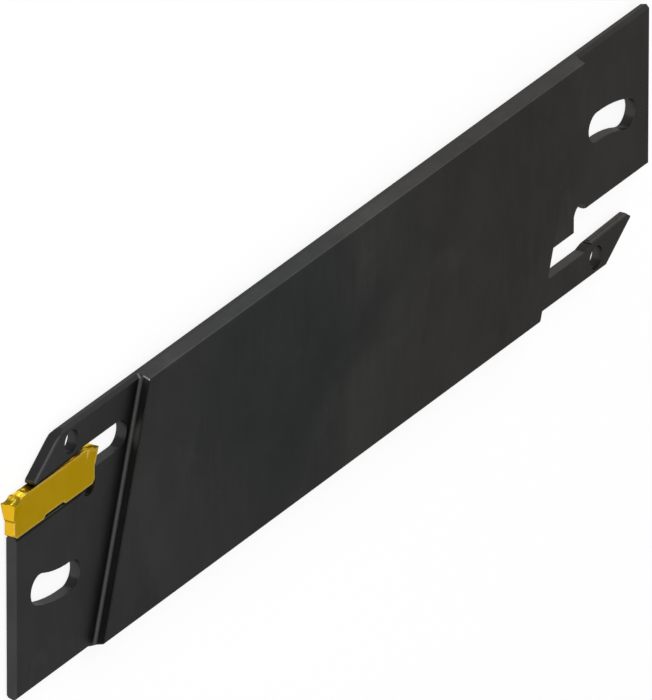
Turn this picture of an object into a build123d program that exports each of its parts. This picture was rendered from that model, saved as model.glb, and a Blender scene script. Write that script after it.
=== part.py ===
from build123d import *
from math import cos, radians, sin, sqrt, tan
import os

# Millimetres. The blade lies on its flat back face: X along the length, Y up
# the height of the blade, Z out of the back face through the thickness.
# Places along the blade are measured from its end face and depths from the
# upper crest. The left end is described; the right end is the same, turned
# half a turn about Z.

# Blade blank
blade_length = 150.0
blade_height = 32.0        # over the crests of the two bevelled edges
body_thickness = 2.9
edge_bevel = 15.0          # slope of each flank of the bevelled edges
crest_offset = 1.2         # crest of a bevelled edge above the back face
back_edge_break = 0.22
body_edge_radius = 0.35

# Thinned ends
end_thickness = 1.47
end_edge_chamfer = 0.38
step_before_stop = 0.45    # foot of the step wall, at the lower back corner
step_lean = 19.2
step_root_radius = 0.5
step_edge_radius = 0.12

# Insert pocket
seat_depth = 10.26
stop_gap = 0.02            # play between the insert and the stop
undercut_radius = 1.5
undercut_rise = 0.44       # centre of the undercut above the seat
seat_rib_height = 0.23     # rounded rib along the seat, guides the insert
seat_rib_radius = 1.25

# Clamping finger
tip_from_end = 3.4         # sharp tip, before it is rounded
tip_depth = 4.97
tip_radius = 0.4
nose_angle = 34.9
nose_radius = 6.5
nose_edge_break = 0.18     # on the front edge of the nose
clamp_slope = 2.0          # the clamping face opens towards the stop
ramp_before_stop = 4.05
ramp_length = 1.3
clamp_rib_height = 0.36
clamp_rib_radius = 0.9

# Relief slit behind the finger
slit_floor_depth = 8.04
slit_width = 3.81
slit_past_stop = 7.28

# Release key: round hole in the finger, curved slot below the pocket
key_hole_radius = 1.55
key_hole_from_end = 12.68
key_hole_depth = 2.4
slot_pivot_from_end = 12.23
slot_pivot_depth = 0.6
slot_path_radius = 19.75
slot_start_angle = 249.3
slot_end_angle = 271.15
slot_width = 4.02

# Cutting insert; heights above the seat
rib_clearance = 0.012
insert_length = 19.44      # over the two cutting edges
insert_overhang = 0.87     # front cutting edge ahead of the blade's end face
cutting_width = 2.0
body_width = 1.44
cutting_height = 4.86
relief_height = 2.63
relief_ledge = 0.12        # small step where the relief ends
front_relief = 0.44        # lower face behind the cutting edge
corner_rise = 0.58
corner_run = 0.58
clamp_height = 5.32
foot_gap = 0.08            # side edges of the feet above the seat
shoulder_height = 5.18     # behind the chip groove
shoulder_from_edge = 1.75
peak_height = 5.34
peak_from_edge = 3.4
peak_fall = 0.3
foot_length = 6.2
recess_height = 0.48
head_length = 2.5
head_blend_angle = 26.0
side_relief = 3.8          # flanks of the head: towards the middle
flank_relief = 7.2         # and downwards
edge_land = 0.16
chip_groove_radius = 1.6
ridge_radius = 0.5         # rounded ridge that splits the chip groove
ridge_start = 0.35
ridge_slope = 13.0
crown_radius = 0.46        # second ridge, on the slope behind the shoulder
crown_rise = 0.15
crown_start = 2.05
crown_length = 1.5
dimple_radius = 0.3
dimple_sink = 0.11
dimple_from_edge = 3.0
edge_break = 0.09

half_length = blade_length / 2
crest = blade_height / 2
bevel_rise = tan(radians(edge_bevel))
overrun = 5.0

seat_height = crest - seat_depth
tip_height = crest - tip_depth
slit_floor = crest - slit_floor_depth
stop_from_end = insert_length - insert_overhang - front_relief + stop_gap
step_foot = stop_from_end - step_before_stop
ramp_from_end = stop_from_end - ramp_before_stop
slit_from_end = stop_from_end + slit_past_stop


def both_ends(shape):
    return [shape, Rot(0, 0, 180) * shape]


def both_halves(shape):
    return [shape, mirror(shape, about=Plane.YZ)]


def blade_blank():
    back = crest - crest_offset * bevel_rise
    front = crest - (body_thickness - crest_offset) * bevel_rise
    right_side = [(back, 0), (crest, crest_offset), (front, body_thickness)]
    left_side = [(-y, z) for y, z in reversed(right_side)]
    section = make_face(Polyline(*right_side, *left_side, close=True))
    corners = section.vertices().group_by(Axis.Y)
    section = chamfer(corners[0], back_edge_break)
    section = fillet(section.vertices().group_by(Axis.Y)[-1], body_edge_radius)
    plane = Plane(origin=(-half_length, 0, 0), x_dir=(0, 1, 0), z_dir=(1, 0, 0))
    return extrude(plane * section, amount=blade_length)


def end_recess():
    flank = crest - (end_thickness - crest_offset) * bevel_rise
    inner = flank - end_edge_chamfer
    reach = 2.0
    section = make_face(Polyline(
        (-inner - reach, end_thickness - reach),
        (-inner, end_thickness),
        (inner, end_thickness),
        (inner + reach, end_thickness - reach),
        (inner + reach, body_thickness + reach),
        (-inner - reach, body_thickness + reach),
        close=True,
    ))
    plane = Plane(origin=(-half_length - overrun, 0, 0), x_dir=(0, 1, 0), z_dir=(1, 0, 0))
    bar = extrude(plane * section, amount=overrun + step_foot + blade_height)
    lower_back = crest - crest_offset * bevel_rise
    foot = (-half_length + step_foot, -lower_back)
    half_space = Pos(blade_length / 2, 0, 0) * Box(blade_length, 4 * blade_height, 4 * overrun)
    bar -= Pos(*foot, 0) * Rot(0, 0, -step_lean) * half_space
    wall = bar.faces().sort_by(Axis.X)[-1]
    root = wall.edges().filter_by(lambda e: e.center().Z < end_thickness + 0.01)
    return fillet(root, step_root_radius)


def slope_line(x, angle):
    return (x - tip_from_end) * tan(radians(angle)) + tip_height


def pocket_cutter():
    roof = slit_floor + slit_width
    slit_radius = slit_width / 2
    above = crest + 0.02  # just clear of the crest, so that no sliver is left
    nose_end = tip_from_end + (above - tip_height) / tan(radians(nose_angle))
    outline = [
        (-overrun, seat_height),
        (stop_from_end, seat_height),
        (stop_from_end, slit_floor),
        (slit_from_end - slit_radius, slit_floor),
        (slit_from_end - slit_radius, roof),
        (ramp_from_end + ramp_length, roof),
        (ramp_from_end, slope_line(ramp_from_end, clamp_slope)),
        (tip_from_end, tip_height),
        (nose_end, above),
        (nose_end + overrun, above),
        (nose_end + overrun, above + overrun),
        (-overrun, above + overrun),
    ]
    face = make_face(Polyline(*outline, close=True))
    tip = face.vertices().sort_by_distance((tip_from_end, tip_height, 0))[0]
    face = fillet(tip, tip_radius)
    shoulder = face.vertices().sort_by_distance((nose_end, above, 0))[0]
    face = fillet(shoulder, nose_radius)
    pocket = Pos(-half_length, 0, -overrun) * extrude(face, amount=3 * overrun)
    pocket -= [seat_rib(), clamp_rib()]
    slit_end = Pos(slit_from_end - slit_radius, slit_floor + slit_radius) * Circle(slit_radius)
    undercut_at = (stop_from_end - undercut_radius, seat_height + undercut_rise)
    undercut = Pos(*undercut_at) * Circle(undercut_radius)
    rounds = [extrude(circle, amount=3 * overrun) for circle in (slit_end, undercut)]
    return pocket + [Pos(-half_length, 0, -overrun) * shape for shape in rounds]


def rib(length, height, radius):
    # Round bar along X that stands the height above the plane Y = 0, cut to the thin end.
    bar = Pos(length / 2, height - radius, end_thickness / 2) * Rot(0, 90, 0) * Cylinder(radius, length)
    slab = Pos(length / 2, 0, end_thickness / 2) * Box(length, 4 * radius, end_thickness)
    return bar & slab


def seat_rib():
    length = stop_from_end - undercut_radius
    return Pos(-half_length, seat_height, 0) * rib(length, seat_rib_height, seat_rib_radius)


def clamp_rib():
    # Hangs below the clamping face, from the end of the tip's round, with rounded ends.
    start = tip_radius / tan(radians(nose_angle - clamp_slope) / 2)
    length = ramp_from_end - tip_from_end - start - tip_radius
    bar = mirror(rib(length, clamp_rib_height, clamp_rib_radius), about=Plane.XZ)
    side = Pos(length / 2, 0) * Rectangle(length, 2 * clamp_rib_height)
    side = fillet(side.vertices().group_by(Axis.Y)[0], clamp_rib_height * 0.9)
    bar &= Pos(0, 0, -overrun) * extrude(side, amount=3 * overrun)
    tip = Pos(-half_length + tip_from_end, tip_height, 0)
    return tip * Rot(0, 0, clamp_slope) * Pos(start, 0, 0) * bar


def key_hole():
    hole = Cylinder(key_hole_radius, 4 * overrun)
    return Pos(-half_length + key_hole_from_end, crest - key_hole_depth, 0) * hole


def key_slot():
    pivot = (slot_pivot_from_end, crest - slot_pivot_depth)
    sweep = slot_end_angle - slot_start_angle
    path = CenterArc(pivot, slot_path_radius, slot_start_angle, sweep)
    slot = SlotArc(path, slot_width)
    return Pos(-half_length, 0, -overrun) * extrude(slot, amount=3 * overrun)


def break_step_edges(body):
    # Rounds the front edge of each step wall and its run-outs on the bevelled edges.
    front = body.faces().sort_by(Axis.Z)[-1]
    walls = front.edges().sort_by(SortBy.LENGTH)[:2]
    return fillet(walls, step_edge_radius)


def nose_break():
    # Square bar on its corner along the front edge of the nose.
    length = (crest - tip_height) / sin(radians(nose_angle))
    bar = Rot(45, 0, 0) * Box(length, nose_edge_break * sqrt(2), nose_edge_break * sqrt(2))
    tip = Pos(-half_length + tip_from_end, tip_height, end_thickness)
    return tip * Rot(0, 0, nose_angle) * Pos(length / 2, 0, 0) * bar


def blade():
    body = blade_blank() - both_ends(end_recess())
    body = break_step_edges(body)
    for cutter in (pocket_cutter(), nose_break(), key_hole(), key_slot()):
        body -= both_ends(cutter)
    return body


def insert_half_profile():
    # Side outline of one half, from the middle to the cutting edge.
    edge = insert_length / 2
    lower = edge - front_relief
    recess_end = lower - corner_run - foot_length
    slope = recess_height - foot_gap
    return [
        (0, recess_height),
        (recess_end - slope, recess_height),
        (recess_end, foot_gap),
        (lower - corner_run, foot_gap),
        (lower, corner_rise),
        (lower, relief_height - relief_ledge),
        (lower + relief_ledge, relief_height),
        (edge, cutting_height),
        (edge - edge_land, cutting_height),
        (edge - shoulder_from_edge, shoulder_height),
        (edge - peak_from_edge, peak_height),
        (edge - peak_from_edge - peak_fall, clamp_height),
        (0, clamp_height),
    ]


def insert_profile():
    half = insert_half_profile()
    other = [(-x, y) for x, y in reversed(half)]
    return make_face(Polyline(*half, *other[1:-1], close=True))


def insert_head(profile):
    # The flanks lean back and down from the cutting edge until they meet the body.
    edge = insert_length / 2
    wide = cutting_width / 2
    back = edge - head_length
    inner = body_width / 2 - edge_break
    outer = back + (wide - inner) / tan(radians(head_blend_angle))
    plan = make_face(Polyline(
        (edge + 1, wide), (outer, wide), (back, inner),
        (back, -inner), (outer, -wide), (edge + 1, -wide),
        close=True,
    ))
    above = Plane(origin=(0, overrun + cutting_height, 0), x_dir=(1, 0, 0), z_dir=(0, -1, 0))
    head = extrude(profile, amount=cutting_width, both=True)
    head &= extrude(above * plan, amount=4 * overrun)
    outside = Pos(0, 0, overrun) * Box(4 * overrun, 4 * overrun, 2 * overrun)
    flank = Pos(edge, cutting_height, wide) * Rot(flank_relief, -side_relief, 0) * outside
    return head - [flank, mirror(flank, about=Plane.XY)]


def chip_groove():
    # Scoop behind the edge land, hollowing the slope up to the shoulder.
    edge = insert_length / 2
    start = (edge - edge_land, cutting_height)
    finish = (edge - shoulder_from_edge, shoulder_height)
    arc = RadiusArc(start, finish, chip_groove_radius)
    face = make_face([arc, Line(finish, start)])
    return extrude(face, amount=cutting_width, both=True)


def chip_ridge():
    # Rounded ridge that rises out of the groove and ends inside the shoulder.
    length = (shoulder_from_edge - ridge_start) / cos(radians(ridge_slope)) + ridge_start
    bar = Pos(-length / 2, -ridge_radius, 0) * Rot(0, 90, 0) * Cylinder(ridge_radius, length)
    bar = Pos(ridge_start / 2, 0, 0) * bar
    start = Pos(insert_length / 2 - ridge_start, cutting_height, 0)
    return start * Rot(0, 0, -ridge_slope) * bar


def slope_height(from_edge):
    # Top of the insert between the shoulder and the peak.
    rise = (peak_height - shoulder_height) / (peak_from_edge - shoulder_from_edge)
    return shoulder_height + rise * (from_edge - shoulder_from_edge)


def crown():
    # Short ridge with rounded ends, half sunk in the slope.
    middle = crown_start + crown_length / 2
    bar = Rot(0, 90, 0) * Cylinder(crown_radius, crown_length)
    bar = fillet(bar.edges().filter_by(GeomType.CIRCLE), crown_radius * 0.9)
    crest = slope_height(middle) + crown_rise
    return Pos(insert_length / 2 - middle, crest - crown_radius, 0) * bar


def dimple():
    # Round hollow in the crown.
    centre = slope_height(dimple_from_edge) + crown_rise - dimple_sink + dimple_radius
    return Pos(insert_length / 2 - dimple_from_edge, centre, 0) * Sphere(dimple_radius)


def insert_grooves():
    # Hollows that take the two ribs of the pocket, with the clearance between.
    foot_radius = seat_rib_radius + rib_clearance
    foot_axis = seat_rib_height - seat_rib_radius
    clamp_length = insert_length - 2 * (peak_from_edge + peak_fall)
    clamp_radius = clamp_rib_radius + rib_clearance
    rib_face = tip_height - seat_height + tip_radius * tan(radians(clamp_slope))
    clamp_axis = rib_face - clamp_rib_height + clamp_rib_radius
    along = Rot(0, 90, 0)
    return [
        Pos(0, foot_axis, 0) * along * Cylinder(foot_radius, insert_length + 1),
        Pos(0, clamp_axis, 0) * along * Cylinder(clamp_radius, clamp_length),
    ]


def cutting_insert():
    profile = insert_profile()
    body = extrude(profile, amount=body_width / 2, both=True)
    sides = body.edges().filter_by(lambda e: abs(abs(e.center().Z) - body_width / 2) < 1e-4)
    body = chamfer(sides, edge_break)
    body += both_halves(insert_head(profile))
    body -= both_halves(chip_groove())
    body += both_halves(chip_ridge())
    body += both_halves(crown())
    body -= both_halves(dimple())
    body -= insert_grooves()
    middle = insert_length / 2 - insert_overhang
    return Pos(-half_length + middle, seat_height, end_thickness / 2) * body


os.makedirs("parts", exist_ok=True)
export_step(blade(), "parts/blade.step")
export_step(cutting_insert(), "parts/cutting_insert.step")
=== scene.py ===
import bpy
import bmesh
from mathutils import Matrix, Vector


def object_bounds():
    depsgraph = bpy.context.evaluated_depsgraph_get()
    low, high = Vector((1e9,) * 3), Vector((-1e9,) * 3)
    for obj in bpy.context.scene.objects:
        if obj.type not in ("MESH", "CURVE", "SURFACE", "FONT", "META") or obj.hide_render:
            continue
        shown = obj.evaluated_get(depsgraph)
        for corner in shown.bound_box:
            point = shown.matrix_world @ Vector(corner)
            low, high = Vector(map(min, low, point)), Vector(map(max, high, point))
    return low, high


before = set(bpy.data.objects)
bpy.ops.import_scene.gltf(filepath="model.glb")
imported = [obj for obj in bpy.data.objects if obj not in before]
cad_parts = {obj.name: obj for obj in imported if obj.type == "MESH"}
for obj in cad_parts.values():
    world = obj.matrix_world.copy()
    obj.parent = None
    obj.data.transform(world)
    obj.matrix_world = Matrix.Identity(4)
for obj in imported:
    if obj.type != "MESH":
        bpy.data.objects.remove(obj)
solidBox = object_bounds()
print("solids loaded")


def feed(tree, socket, value):
    # a link from another node, or a plain value
    if hasattr(value, "links"):
        tree.links.new(value, socket)
    else:
        socket.default_value = value


def mathNode(tree, operation, first, second=0.0):
    node = tree.nodes.new("ShaderNodeMath")
    node.operation = operation
    feed(tree, node.inputs[0], first)
    feed(tree, node.inputs[1], second)
    return node.outputs[0]


def vectorNode(tree, operation, first, second=(0, 0, 0)):
    node = tree.nodes.new("ShaderNodeVectorMath")
    node.operation = operation
    feed(tree, node.inputs[0], first)
    feed(tree, node.inputs[1], second)
    return node.outputs["Value" if operation in ("DOT_PRODUCT", "LENGTH") else "Vector"]


def scaleNode(tree, vector, factor):
    node = tree.nodes.new("ShaderNodeVectorMath")
    node.operation = "SCALE"
    feed(tree, node.inputs["Vector"], vector)
    feed(tree, node.inputs["Scale"], factor)
    return node.outputs["Vector"]


def rangeNode(tree, value, reach, low=0.0, high=1.0):
    # eases from low at the start of the reach to high at its end
    node = tree.nodes.new("ShaderNodeMapRange")
    node.interpolation_type = "SMOOTHSTEP"
    feed(tree, node.inputs["Value"], value)
    feed(tree, node.inputs["From Min"], reach[0])
    feed(tree, node.inputs["From Max"], reach[1])
    feed(tree, node.inputs["To Min"], low)
    feed(tree, node.inputs["To Max"], high)
    return node.outputs["Result"]


def noiseNode(tree, place, scale, detail, roughness):
    node = tree.nodes.new("ShaderNodeTexNoise")
    feed(tree, node.inputs["Vector"], place)
    feed(tree, node.inputs["Scale"], scale)
    node.inputs["Detail"].default_value = detail
    node.inputs["Roughness"].default_value = roughness
    return node.outputs["Fac"]


def mixColours(tree, mask, first, second):
    node = tree.nodes.new("ShaderNodeMix")
    node.data_type = "RGBA"
    feed(tree, node.inputs[0], mask)
    for socket, colour in ((node.inputs[6], first), (node.inputs[7], second)):
        feed(tree, socket, colour if hasattr(colour, "links") else (*colour, 1))
    return node.outputs[2]


def mixShaders(tree, share, first, second, output):
    mix = tree.nodes.new("ShaderNodeMixShader")
    feed(tree, mix.inputs["Fac"], share)
    tree.links.new(first.outputs[0], mix.inputs[1])
    tree.links.new(second.outputs[0], mix.inputs[2])
    tree.links.new(mix.outputs[0], tree.nodes[output].inputs["Surface"])


def stretchNode(tree, place, scale):
    node = tree.nodes.new("ShaderNodeMapping")
    node.inputs["Scale"].default_value = scale
    tree.links.new(place, node.inputs["Vector"])
    return node.outputs["Vector"]


def splitPlace(tree, place):
    node = tree.nodes.new("ShaderNodeSeparateXYZ")
    tree.links.new(place, node.inputs[0])
    return node.outputs


def joinPlace(tree, x, y, z=0.0):
    node = tree.nodes.new("ShaderNodeCombineXYZ")
    for socket, value in zip(node.inputs, (x, y, z)):
        feed(tree, socket, value)
    return node.outputs[0]


def objectPlace(tree):
    return tree.nodes.new("ShaderNodeTexCoord").outputs["Object"]


def facing(tree, side):
    # 1 where the surface looks along side, 0 where it is edge-on to it
    normal = tree.nodes.new("ShaderNodeTexCoord").outputs["Normal"]
    return vectorNode(tree, "DOT_PRODUCT", normal, side)


def facingEither(tree, side):
    return mathNode(tree, "ABSOLUTE", facing(tree, side))


def newMaterial(name):
    material = bpy.data.materials.new(name)
    material.use_nodes = True
    return material, material.node_tree


def newGroup(name, inputs, outputs):
    tree = bpy.data.node_groups.new(name, "ShaderNodeTree")
    for label, kind, value in inputs:
        socket = tree.interface.new_socket(name=label, in_out="INPUT", socket_type=kind)
        socket.default_value = value
    for label, kind in outputs:
        tree.interface.new_socket(name=label, in_out="OUTPUT", socket_type=kind)
    return tree, tree.nodes.new("NodeGroupInput"), tree.nodes.new("NodeGroupOutput")


def placeGroup(tree, group, values):
    node = tree.nodes.new("ShaderNodeGroup")
    node.node_tree = group
    for label, value in values.items():
        feed(tree, node.inputs[label], value)
    return node


edgeWear = {
    "samples": 8,
    "agreement": (0.9985, 0.975),  # of the rounded normal with the true one, from no wear to full
    "patchNoise": (3.0, 0.6),  # detail and roughness
    "patches": (0.38, 0.58),
    "leastWear": 0.25,
}


def makeEdgeRub():
    # mask of the edges, broken up by noise: where a rounded normal leaves the true one
    tree, given, result = newGroup(
        "edgeRubAndSheen",
        [("Width", "NodeSocketFloat", 0.00012), ("Patchiness", "NodeSocketFloat", 1500.0)],
        [("Mask", "NodeSocketFloat")])
    rounded = tree.nodes.new("ShaderNodeBevel")
    rounded.samples = edgeWear["samples"]
    tree.links.new(given.outputs["Width"], rounded.inputs["Radius"])
    surface = tree.nodes.new("ShaderNodeNewGeometry")
    agreement = vectorNode(tree, "DOT_PRODUCT", rounded.outputs["Normal"], surface.outputs["Normal"])
    edge = rangeNode(tree, agreement, edgeWear["agreement"])
    patches = noiseNode(tree, objectPlace(tree), given.outputs["Patchiness"], *edgeWear["patchNoise"])
    wornAndHighlit = rangeNode(tree, patches, edgeWear["patches"], edgeWear["leastWear"])
    tree.links.new(mathNode(tree, "MULTIPLY", edge, wornAndHighlit), result.inputs["Mask"])
    return tree


mottleNoise = {
    "cloud": (4.0, 0.55),  # detail and roughness
    "fleck": (2.0, 0.5),
    "contrast": (0.3, 0.7),
}


def makeMottle():
    # slow and fine cloudiness of a finish, about zero
    tree, given, result = newGroup(
        "finishMottle",
        [("Cloud Scale", "NodeSocketFloat", 120.0), ("Fleck Scale", "NodeSocketFloat", 2600.0)],
        [("Cloud", "NodeSocketFloat"), ("Fleck", "NodeSocketFloat")])
    place = objectPlace(tree)
    for label, kind in (("Cloud", "cloud"), ("Fleck", "fleck")):
        noise = noiseNode(tree, place, given.outputs[label + " Scale"], *mottleNoise[kind])
        tree.links.new(rangeNode(tree, noise, mottleNoise["contrast"], -1.0), result.inputs[label])
    return tree


def makeLineMask():
    # 1 within Inner of the line that runs Along from Start, fading to 0 at Outer
    tree, given, result = newGroup(
        "lineMask",
        [("Place", "NodeSocketVector", (0, 0, 0)), ("Start", "NodeSocketVector", (0, 0, 0)),
         ("Along", "NodeSocketVector", (0.01, 0, 0)), ("Inner", "NodeSocketFloat", 0.0001),
         ("Outer", "NodeSocketFloat", 0.0002)],
        [("Mask", "NodeSocketFloat")])
    along = given.outputs["Along"]
    offset = vectorNode(tree, "SUBTRACT", given.outputs["Place"], given.outputs["Start"])
    share = mathNode(tree, "DIVIDE", vectorNode(tree, "DOT_PRODUCT", offset, along),
                     vectorNode(tree, "DOT_PRODUCT", along, along))
    share = mathNode(tree, "MINIMUM", mathNode(tree, "MAXIMUM", share, 0.0), 1.0)
    foot = scaleNode(tree, along, share)
    gap = vectorNode(tree, "LENGTH", vectorNode(tree, "SUBTRACT", offset, foot))
    reach = (given.outputs["Inner"], given.outputs["Outer"])
    tree.links.new(rangeNode(tree, gap, reach, 1.0, 0.0), result.inputs["Mask"])
    return tree


edgeRubAndSheen = makeEdgeRub()
finishMottle = makeMottle()
lineMask = makeLineMask()


def placeMottle(tree, look):
    values = {"Cloud Scale": look["cloudScale"], "Fleck Scale": look["fleckScale"]}
    return placeGroup(tree, finishMottle, values).outputs


def placeRubAndSheen(tree, look):
    values = {"Width": look["rubWidth"], "Patchiness": look["rubPatches"]}
    return placeGroup(tree, edgeRubAndSheen, values).outputs["Mask"]


def nearLine(tree, place, line, reach):
    start, end = Vector(line[0]), Vector(line[1])
    values = {"Place": place, "Start": start, "Along": end - start, "Inner": reach[0], "Outer": reach[1]}
    return placeGroup(tree, lineMask, values).outputs["Mask"]


def darkenNear(tree, colour, mask, rest):
    # rest is what is left of the colour where the mask is 1
    return scaleNode(tree, colour, rangeNode(tree, mask, (0.0, 1.0), 1.0, rest))


def addSurface(tree, look, colour, cloud, height, depth):
    shader = tree.nodes["Principled BSDF"]
    tree.links.new(colour, shader.inputs["Base Color"])
    level = mathNode(tree, "MULTIPLY", cloud, look["roughnessChange"])
    level = mathNode(tree, "ADD", level, look["roughness"])
    tree.links.new(level, shader.inputs["Roughness"])
    shader.inputs["Metallic"].default_value = 1.0
    shader.inputs["Specular Tint"].default_value = (*look["edgeTint"], 1)
    bump = tree.nodes.new("ShaderNodeBump")
    bump.inputs["Strength"].default_value = 1.0
    bump.inputs["Distance"].default_value = depth
    tree.links.new(height, bump.inputs["Height"])
    tree.links.new(bump.outputs["Normal"], shader.inputs["Normal"])


print("wear, mottle and line groups made")

# Lengths are in metres, each noise is scale, detail and roughness, and each line runs
# from its first point to its second. A reach goes from full effect to none, or back.
blackSteel = {
    "coolColour": (0.0300, 0.0305, 0.0298),
    "warmColour": (0.0312, 0.0300, 0.0280),
    "warmFromTo": (-0.020, 0.045),  # along the blade
    "cloudScale": 55.0,
    "fleckScale": 2400.0,
    "cloudShift": 0.007,  # how far the clouds push the zones along the blade

    "patchColour": (0.0255, 0.0270, 0.0270),  # darker patch left of the middle
    "patchMiddle": (-0.016, 0.004),
    "patchReach": (0.006, 0.025),
    "rimStart": (0.017, 0.025),  # paler band round the dark patch
    "rimEnd": (0.027, 0.037),
    "paleEnds": (0.050, 0.066),

    "smokeNoise": (190.0, 3.0, 0.6),
    "streakStretch": (1500.0, 140.0, 1500.0),  # brushed across the blade
    "streakNoise": (1.0, 3.0, 0.6),
    "contrast": (0.35, 0.65),  # of smoke and streaks
    "brushNoise": (76.0, 2.0, 0.5),  # where the brushing shows
    "brushPlaces": (0.40, 0.60),
    "leastBrushing": 0.2,
    "wispNoise": (38.0, 3.0, 0.45),
    "wispWidth": 0.022,
    "wispPlaceNoise": (64.6, 2.0, 0.5),
    "wispPlaces": (0.50, 0.66),
    "speckScale": 420.0,
    "speckSize": (0.045, 0.085),
    "lighterFloorFacing": (0.97, 0.99),  # slot and pocket floors, which look across the blade, are made lighter
    "lightness": {
        "cloud": 0.07, "smoke": 0.045, "streak": 0.05, "wisp": 0.12,
        "speck": 0.4, "paleEnd": 0.10, "rim": 0.10, "lighterFloor": 0.30,
    },

    "narrowSides": (0.85, 0.38),  # how flat a face lies, from the broad faces to the flanks
    # painted light: the flanks and cut walls are painted lighter than the broad faces
    "narrowSideLight": 1.67,
    "shadedWallSide": (-0.545, 0.839, 0.0),  # walls that look this way are painted darker, a painted shade
    "shadedWallReach": (0.86, 0.985),
    "shadedWallRest": 0.5,
    "noseLine": ((-0.07160, 0.01103, 0.00147), (-0.06447, 0.01600, 0.00147)),
    "noseReach": (0.00020, 0.00080),
    "noseFlat": (0.85, 0.97),
    "noseHighlight": 0.26,  # painted highlight beside the front edge of each finger

    # edge colour: edge wear together with a painted edge highlight
    "rubAndHighlightColour": (0.043, 0.043, 0.042),
    "rubWidth": 0.00010,
    "rubPatches": 700.0,
    # painted shade along the front edge of each step
    "stepShadeLine": ((-0.05724, -0.01550, 0.00285), (-0.04644, 0.01550, 0.00285)),
    "stepShadeReach": (0.00010, 0.00020),
    "stepShadeRest": 0.45,
    "contactShadowLines": (  # painted contact shadow on the face, below the insert and along the finger
        ((-0.07500, 0.00566, 0.00147), (-0.05820, 0.00566, 0.00147)),
        ((-0.07120, 0.01114, 0.00147), (-0.06090, 0.01150, 0.00147)),
    ),
    "contactShadowReach": (0.00010, 0.00026),
    "contactShadowRest": 0.40,
    "glintColour": (0.23, 0.23, 0.225),
    "glintLine": ((-0.046343, 0.015800, 0.00195), (-0.046425, 0.015560, 0.00285)),
    "glintReach": (0.00005, 0.00020),

    "edgeTint": (0.52, 0.52, 0.52),  # holds back the glare at flat angles
    "roughness": 0.38,
    "roughnessChange": 0.02,
    "grindStretch": (5200.0, 40.0, 5200.0),
    "grindNoise": (1.0, 3.0, 0.6),
    "grindDepth": 0.0000012,
    "fleckShare": 0.3,
}


def foldEnds(tree, place):
    # turns the right half onto the left one, as the blade is the same both ways round
    parts = splitPlace(tree, place)
    turn = mathNode(tree, "MULTIPLY", mathNode(tree, "SIGN", parts["X"]), -1.0)
    return joinPlace(tree, mathNode(tree, "MULTIPLY", parts["X"], turn),
                     mathNode(tree, "MULTIPLY", parts["Y"], turn), parts["Z"])


def makeZones(tree, look, along, height):
    # cool to warm oxide along the blade, with the dark patch and the pale rim round it
    warm = rangeNode(tree, along, look["warmFromTo"])
    colour = mixColours(tree, warm, look["coolColour"], look["warmColour"])
    offset = joinPlace(tree, mathNode(tree, "SUBTRACT", along, look["patchMiddle"][0]),
                       mathNode(tree, "SUBTRACT", height, look["patchMiddle"][1]))
    fromPatch = vectorNode(tree, "LENGTH", offset)
    patch = rangeNode(tree, fromPatch, look["patchReach"], 1.0, 0.0)
    rim = mathNode(tree, "MULTIPLY", rangeNode(tree, fromPatch, look["rimStart"]),
                   rangeNode(tree, fromPatch, look["rimEnd"], 1.0, 0.0))
    return mixColours(tree, patch, colour, look["patchColour"]), rim


def makeWisps(tree, look, place):
    # thin pale curls where a noise crosses its middle, kept to a few places
    curls = noiseNode(tree, place, *look["wispNoise"])
    ridge = mathNode(tree, "ABSOLUTE", mathNode(tree, "SUBTRACT", curls, 0.5))
    ridge = rangeNode(tree, ridge, (0.0, look["wispWidth"]), 1.0, 0.0)
    places = noiseNode(tree, place, *look["wispPlaceNoise"])
    return mathNode(tree, "MULTIPLY", ridge, rangeNode(tree, places, look["wispPlaces"]))


def makeSpecks(tree, look, place):
    cells = tree.nodes.new("ShaderNodeTexVoronoi")
    cells.inputs["Scale"].default_value = look["speckScale"]
    tree.links.new(place, cells.inputs["Vector"])
    return rangeNode(tree, cells.outputs["Distance"], look["speckSize"], 1.0, 0.0)


def makeLightness(tree, look, place, along, cloud, rim):
    # everything that makes the oxide a little lighter or darker than its zone
    contrast = look["contrast"]
    smoke = noiseNode(tree, place, *look["smokeNoise"])
    streaks = noiseNode(tree, stretchNode(tree, place, look["streakStretch"]), *look["streakNoise"])
    brushed = noiseNode(tree, place, *look["brushNoise"])
    brushed = rangeNode(tree, brushed, look["brushPlaces"], look["leastBrushing"])
    shares = {
        "cloud": cloud,
        "smoke": rangeNode(tree, smoke, contrast, -1.0),
        "streak": mathNode(tree, "MULTIPLY", rangeNode(tree, streaks, contrast, -1.0), brushed),
        "wisp": makeWisps(tree, look, place),
        "speck": makeSpecks(tree, look, place),
        "paleEnd": rangeNode(tree, mathNode(tree, "ABSOLUTE", along), look["paleEnds"]),
        "rim": mathNode(tree, "MULTIPLY", rim, brushed),
        "lighterFloor": rangeNode(tree, facingEither(tree, (0, 1, 0)), look["lighterFloorFacing"]),
    }
    light = 1.0
    for name, share in shares.items():
        share = mathNode(tree, "MULTIPLY", share, look["lightness"][name])
        light = mathNode(tree, "ADD", share, light)
    return light


def shadeSides(tree, look, light, folded):
    # painted light and shade: the flanks and cut walls painted lighter, the walls that look one way
    # painted darker, and a painted highlight beside each finger's front edge
    flat = facingEither(tree, (0, 0, 1))
    sides = rangeNode(tree, flat, look["narrowSides"], 1.0, look["narrowSideLight"])
    noseHighlit = nearLine(tree, folded, look["noseLine"], look["noseReach"])
    noseHighlit = mathNode(tree, "MULTIPLY", noseHighlit,
                       rangeNode(tree, flat, look["noseFlat"], 0.0, look["noseHighlight"]))
    wallShade = rangeNode(tree, facing(tree, look["shadedWallSide"]), look["shadedWallReach"], 1.0, look["shadedWallRest"])
    light = mathNode(tree, "MULTIPLY", light, sides)
    light = mathNode(tree, "MULTIPLY", light, mathNode(tree, "ADD", noseHighlit, 1.0))
    return mathNode(tree, "MULTIPLY", light, wallShade)


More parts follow.
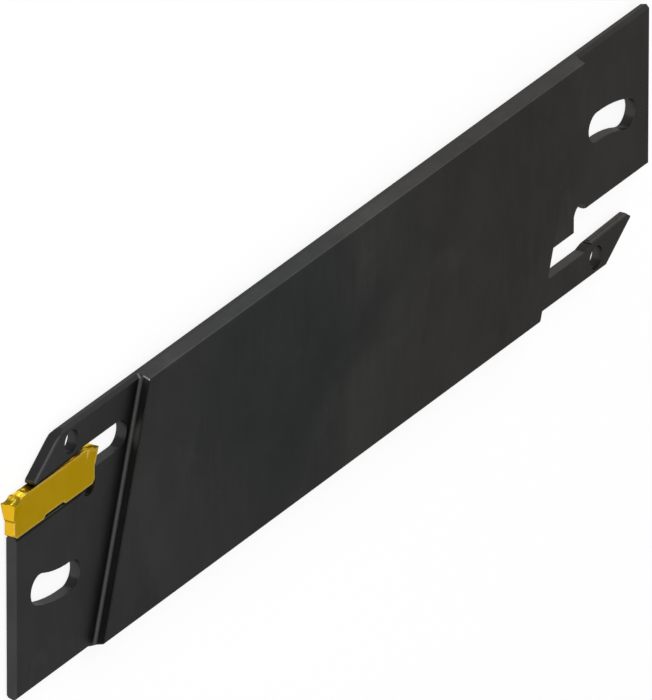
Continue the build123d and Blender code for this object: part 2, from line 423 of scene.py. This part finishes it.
def addShadeAndGlint(tree, look, colour, place, folded):
    # painted shade along the step edge, painted contact shadow under the insert and finger, and a
    # painted glint on the step's top edge
    stepShade = nearLine(tree, folded, look["stepShadeLine"], look["stepShadeReach"])
    colour = darkenNear(tree, colour, stepShade, look["stepShadeRest"])
    for line in look["contactShadowLines"]:
        contactShadow = nearLine(tree, place, line, look["contactShadowReach"])
        colour = darkenNear(tree, colour, contactShadow, look["contactShadowRest"])
    glint = nearLine(tree, folded, look["glintLine"], look["glintReach"])
    return mixColours(tree, glint, colour, look["glintColour"])


def makeBlackSteel():
    look = blackSteel
    material, tree = newMaterial("blackOxideSteel")
    place = objectPlace(tree)
    folded = foldEnds(tree, place)
    parts = splitPlace(tree, place)
    mottle = placeMottle(tree, look)
    shift = mathNode(tree, "MULTIPLY", mottle["Cloud"], look["cloudShift"])
    along = mathNode(tree, "ADD", parts["X"], shift)

    colour, rim = makeZones(tree, look, along, parts["Y"])
    light = makeLightness(tree, look, place, along, mottle["Cloud"], rim)
    colour = scaleNode(tree, colour, shadeSides(tree, look, light, folded))
    colour = mixColours(tree, placeRubAndSheen(tree, look), colour, look["rubAndHighlightColour"])
    colour = addShadeAndGlint(tree, look, colour, place, folded)

    grind = noiseNode(tree, stretchNode(tree, place, look["grindStretch"]), *look["grindNoise"])
    flecks = mathNode(tree, "MULTIPLY", mottle["Fleck"], look["fleckShare"])
    height = mathNode(tree, "ADD", grind, flecks)
    addSurface(tree, look, colour, mottle["Cloud"], height, look["grindDepth"])
    return material


goldCoating = {
    # painted light: the side faces get a darker shaded copy of the gold, the other faces a lit one
    "shadedSideColour": (0.356, 0.226, 0.018),
    "sideFlat": (0.80, 0.97),  # how flat a face lies before it counts as a side
    "litFaceColour": (0.800, 0.470, 0.020),  # painted lit gold on the front, top and back of the insert
    "cloudScale": 260.0,
    "fleckScale": 6000.0,
    "cloudShare": 0.03,
    "creviceSamples": 8,
    "creviceDepth": 0.0007,
    "creviceOpen": (0.25, 0.75),
    "creviceShadeRest": 0.35,  # what is left of the colour where the painted shade of narrow gaps is full

    "middle": (-0.06615, 0.000735),  # of the insert, along the blade and through it
    "chipShade": (0.240, 0.165, 0.010),  # painted shade and highlight on the chip former at both ends of the top
    "chipHighlight": (0.960, 0.660, 0.055),
    "chipFrom": (0.0052, 0.0062),
    "chipUpward": (0.45, 0.75),
    "chipNoise": (1100.0, 1.0, 0.4),
    "chipPatches": (0.40, 0.60),

    # edge colour: edge wear together with a painted edge highlight
    "rubAndHighlightColour": (0.420, 0.310, 0.080),
    "rubWidth": 0.00050,
    "rubPatches": 1800.0,
    "rubFlat": (0.50, 0.65),
    # painted highlight along the lower and rear edge of a side face, from the front, third number from
    # the middle plane
    "highlitOutline": (
        (-0.07543, 0.00632, 0.00072), (-0.07485, 0.00582, 0.00072),
        (-0.06865, 0.00582, 0.00072), (-0.06825, 0.00622, 0.00072),
        (-0.06405, 0.00622, 0.00072), (-0.06365, 0.00582, 0.00072),
        (-0.05745, 0.00582, 0.00072), (-0.05687, 0.00632, 0.00072),
        (-0.05687, 0.00825, 0.00072), (-0.05643, 0.01060, 0.00072),
    ),
    "outlineReach": (0.00012, 0.00032),
    # painted shadow under the relief ledge on the front
    "ledgeShadowLine": ((-0.07545, 0.00830, -0.0006), (-0.07545, 0.00830, 0.0006)),
    "ledgeShadowReach": (0.00008, 0.00030),
    "ledgeShadowRest": 0.55,

    "edgeTint": (0.80, 0.66, 0.30),
    "roughness": 0.31,
    "roughnessChange": 0.03,
    "grainDepth": 0.0000022,
}


def paintChipFormerLight(tree, look, colour, place, parts):
    # painted shade and highlight patches on the upward faces of the chip former
    fromMiddle = mathNode(tree, "SUBTRACT", parts["X"], look["middle"][0])
    ends = rangeNode(tree, mathNode(tree, "ABSOLUTE", fromMiddle), look["chipFrom"])
    upward = rangeNode(tree, facing(tree, (0, 1, 0)), look["chipUpward"])
    patches = rangeNode(tree, noiseNode(tree, place, *look["chipNoise"]), look["chipPatches"])
    chipLight = mixColours(tree, patches, look["chipShade"], look["chipHighlight"])
    return mixColours(tree, mathNode(tree, "MULTIPLY", ends, upward), colour, chipLight)


def gapShade(tree, look):
    # painted shade: less than 1 in narrow gaps and hollows
    gaps = tree.nodes.new("ShaderNodeAmbientOcclusion")
    gaps.samples = look["creviceSamples"]
    gaps.inputs["Distance"].default_value = look["creviceDepth"]
    return rangeNode(tree, gaps.outputs["AO"], look["creviceOpen"], look["creviceShadeRest"])


def makeGoldCoating():
    look = goldCoating
    material, tree = newMaterial("goldCoating")
    place = objectPlace(tree)
    parts = splitPlace(tree, place)
    mottle = placeMottle(tree, look)
    flat = facingEither(tree, (0, 0, 1))
    side = rangeNode(tree, flat, look["sideFlat"])
    colour = mixColours(tree, side, look["litFaceColour"], look["shadedSideColour"])
    colour = paintChipFormerLight(tree, look, colour, place, parts)
    clouds = mathNode(tree, "MULTIPLY", mottle["Cloud"], look["cloudShare"])
    clouds = mathNode(tree, "ADD", clouds, 1.0)
    # painted shade in gaps and hollows, kept off the side faces
    shadeInGaps = mathNode(tree, "MAXIMUM", gapShade(tree, look), side)
    colour = scaleNode(tree, colour, mathNode(tree, "MULTIPLY", clouds, shadeInGaps))

    # both side faces share one outline, so the place is folded onto the middle plane
    fromPlane = mathNode(tree, "SUBTRACT", parts["Z"], look["middle"][1])
    folded = joinPlace(tree, parts["X"], parts["Y"], mathNode(tree, "ABSOLUTE", fromPlane))
    # painted shadow under the relief ledge
    ledgeShadow = nearLine(tree, folded, look["ledgeShadowLine"], look["ledgeShadowReach"])
    colour = darkenNear(tree, colour, ledgeShadow, look["ledgeShadowRest"])
    # edge wear, and a painted highlight along the outline of the side faces
    wornAndHighlit = mathNode(tree, "MULTIPLY", placeRubAndSheen(tree, look), rangeNode(tree, flat, look["rubFlat"]))
    outline = look["highlitOutline"]
    for line in zip(outline, outline[1:]):
        wornAndHighlit = mathNode(tree, "MAXIMUM", wornAndHighlit, nearLine(tree, folded, line, look["outlineReach"]))
    colour = mixColours(tree, wornAndHighlit, colour, look["rubAndHighlightColour"])
    addSurface(tree, look, colour, mottle["Cloud"], mottle["Fleck"], look["grainDepth"])
    return material


def paint(node, material):
    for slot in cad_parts[node].material_slots:
        slot.material = material


paint("blade", makeBlackSteel())
paint("cutting_insert", makeGoldCoating())
print("finishes made")


def whiteRays(tree):
    # 1 for the camera and for what metal and glass show, 0 for the light on the object
    path = tree.nodes.new("ShaderNodeLightPath")
    seen = mathNode(tree, "MAXIMUM", path.outputs["Is Camera Ray"], path.outputs["Is Glossy Ray"])
    return mathNode(tree, "MAXIMUM", seen, path.outputs["Is Transmission Ray"])


floorLook = {
    "radius": 3.0,
    "segments": 96,
    "colour": (0.95, 0.95, 0.95),
    "whiteLevel": 1.0,
    "shadowShare": 0.14,  # part of it that is lit paint, the rest shows plain white
}


def makeFloor():
    mesh = bpy.data.meshes.new("floor")
    bm = bmesh.new()
    bmesh.ops.create_circle(
        bm, cap_ends=True, segments=floorLook["segments"], radius=floorLook["radius"])
    bmesh.ops.translate(bm, verts=bm.verts, vec=(0, 0, solidBox[0].z))
    bm.to_mesh(mesh)
    bm.free()
    floor = bpy.data.objects.new("floor", mesh)
    bpy.context.scene.collection.objects.link(floor)
    material, tree = newMaterial("paleFloor")
    tree.nodes.remove(tree.nodes["Principled BSDF"])
    lit = tree.nodes.new("ShaderNodeBsdfDiffuse")
    lit.inputs["Color"].default_value = (*floorLook["colour"], 1)
    white = tree.nodes.new("ShaderNodeEmission")
    white.inputs["Strength"].default_value = floorLook["whiteLevel"]
    share = mathNode(tree, "MULTIPLY", whiteRays(tree), 1 - floorLook["shadowShare"])
    mixShaders(tree, share, lit, white, "Material Output")
    mesh.materials.append(material)


worldLook = {
    "light": 0.6,  # level that lights the object
    "backdrop": 1.0,  # white behind the object and in its reflections
}


def makeWorld():
    world = bpy.data.worlds.new("studio")
    bpy.context.scene.world = world
    world.use_nodes = True
    tree = world.node_tree
    light = tree.nodes["Background"]
    backdrop = tree.nodes.new("ShaderNodeBackground")
    for node, level in ((light, worldLook["light"]), (backdrop, worldLook["backdrop"])):
        node.inputs["Color"].default_value = (level, level, level, 1)
    mixShaders(tree, whiteRays(tree), light, backdrop, "World Output")


# disc soft boxes aimed at the blade: place and size in metres, power in watts
lamps = {
    "keySoftbox": {"place": (-0.20, 0.90, 0.60), "size": 0.7, "power": 6.0},
    "rootSoftbox": {"place": (-0.54, -0.05, 0.96), "size": 0.5, "power": 1.5},
    "endSoftbox": {"place": (-0.90, -0.30, 0.50), "size": 0.6, "power": 1.0},
    "chipSoftbox": {"place": (0.50, 0.86, 0.22), "size": 0.4, "power": 2.2},
}


def makeLamps():
    for name, lamp in lamps.items():
        data = bpy.data.lights.new(name, "AREA")
        data.shape = "DISK"
        data.size = lamp["size"]
        data.energy = lamp["power"]
        softbox = bpy.data.objects.new(name, data)
        softbox.location = lamp["place"]
        softbox.rotation_mode = "QUATERNION"
        softbox.rotation_quaternion = (-Vector(lamp["place"])).to_track_quat("-Z", "Y")
        bpy.context.scene.collection.objects.link(softbox)


# camera of the reference view: metres, unit axes, millimetres for lens and sensor
photoView = {
    "place": (-2.745095, 1.565930, 1.645257),
    "back": (-0.770374, 0.439645, 0.461775),
    "right": (0.514568, 0.001050, 0.857449),
    "focalLength": 1500.0,
    "sensor": 36.0,
    "clip": (0.1, 20),
}


def makeCamera():
    back = Vector(photoView["back"]).normalized()
    right = Vector(photoView["right"]).normalized()
    up = back.cross(right)
    data = bpy.data.cameras.new("photoCamera")
    data.lens = photoView["focalLength"]
    data.sensor_width = photoView["sensor"]
    data.clip_start, data.clip_end = photoView["clip"]
    camera = bpy.data.objects.new("photoCamera", data)
    turn = Matrix((right, up, back)).transposed().to_4x4()
    camera.matrix_world = Matrix.Translation(photoView["place"]) @ turn
    bpy.context.scene.collection.objects.link(camera)
    bpy.context.scene.camera = camera


makeFloor()
makeWorld()
makeLamps()
makeCamera()
bpy.context.scene.view_settings.view_transform = "Standard"
print("stage, lamps and camera set")
